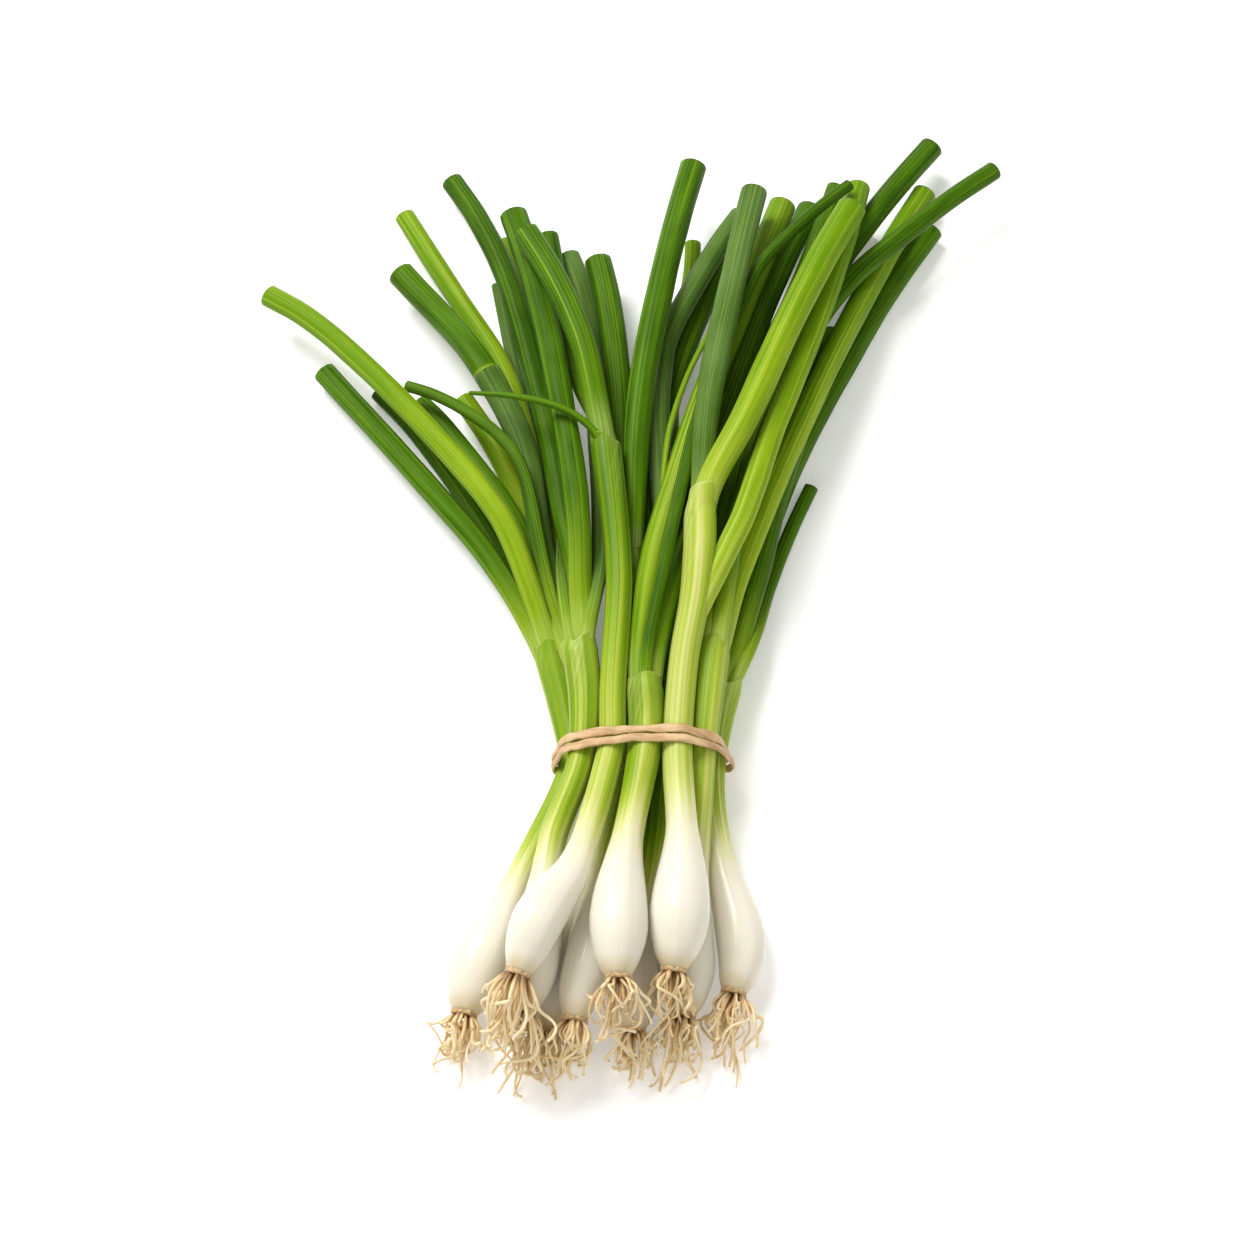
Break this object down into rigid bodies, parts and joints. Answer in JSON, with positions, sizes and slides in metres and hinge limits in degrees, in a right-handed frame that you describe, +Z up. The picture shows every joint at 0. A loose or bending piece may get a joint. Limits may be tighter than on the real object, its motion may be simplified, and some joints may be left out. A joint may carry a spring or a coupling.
{
  "type": "spring onion bunch",
  "caption": "Trimmed spring onions with white bulbs, root tufts and green leaves, tied in a bunch by a doubled rubber band and lying on a table.",
  "frame": {"origin": "on the table, under the middle of the bunch's box", "axes": "+Z up from the table, +Y along the bunch from the roots to the leaf tips, +X across it"},
  "size_m": [0.2626, 0.3604, 0.0472],
  "materials": {
    "bulb_and_stem": "glossy ivory bulb, turning pale green up the stem",
    "roots": "matte cream fibres",
    "leaf_green": "satin, fine lengthwise veins",
    "leaf_bluish": "satin with a pale bloom",
    "leaf_yellow_green": "satin, pale lengthwise streaks",
    "rubber_band": "matte natural rubber"
  },
  "bodies": {
    "root": {"onion_10_bulb_stem": "bulb_and_stem", "onion_10_leaf_a": "leaf_green", "onion_10_leaf_b": "leaf_green", "onion_10_leaf_c": "leaf_green", "onion_10_roots": "roots", "onion_1_bulb_stem": "bulb_and_stem", "onion_1_leaf_a": "leaf_yellow_green", "onion_1_leaf_b": "leaf_green", "onion_1_leaf_c": "leaf_green", "onion_1_leaf_d": "leaf_green", "onion_1_roots": "roots", "onion_2_bulb_stem": "bulb_and_stem", "onion_2_leaf_a": "leaf_green", "onion_2_leaf_b": "leaf_green", "onion_2_leaf_c": "leaf_green", "onion_2_roots": "roots", "onion_3_bulb_stem": "bulb_and_stem", "onion_3_leaf_a": "leaf_green", "onion_3_leaf_b": "leaf_bluish", "onion_3_leaf_c": "leaf_green", "onion_3_leaf_d": "leaf_bluish", "onion_3_leaf_e": "leaf_yellow_green", "onion_3_roots": "roots", "onion_4_bulb_stem": "bulb_and_stem", "onion_4_leaf_a": "leaf_bluish", "onion_4_leaf_b": "leaf_yellow_green", "onion_4_leaf_c": "leaf_yellow_green", "onion_4_leaf_d": "leaf_green", "onion_4_leaf_e": "leaf_green", "onion_4_roots": "roots", "onion_5_bulb_stem": "bulb_and_stem", "onion_5_leaf_a": "leaf_green", "onion_5_leaf_b": "leaf_green", "onion_5_roots": "roots", "onion_6_bulb_stem": "bulb_and_stem", "onion_6_leaf_a": "leaf_yellow_green", "onion_6_leaf_b": "leaf_green", "onion_6_leaf_c": "leaf_green", "onion_6_roots": "roots", "onion_7_bulb_stem": "bulb_and_stem", "onion_7_leaf_a": "leaf_bluish", "onion_7_leaf_b": "leaf_green", "onion_7_leaf_c": "leaf_yellow_green", "onion_7_leaf_d": "leaf_yellow_green", "onion_7_roots": "roots", "onion_8_bulb_stem": "bulb_and_stem", "onion_8_leaf_a": "leaf_green", "onion_8_leaf_b": "leaf_yellow_green", "onion_8_leaf_c": "leaf_yellow_green", "onion_8_roots": "roots", "onion_9_bulb_stem": "bulb_and_stem", "onion_9_leaf_a": "leaf_yellow_green", "onion_9_leaf_b": "leaf_green", "onion_9_leaf_c": "leaf_green", "onion_9_leaf_d": "leaf_green", "onion_9_leaf_e": "leaf_green", "onion_9_roots": "roots", "rubber_band": "rubber_band"}
  },
  "joints": []
}
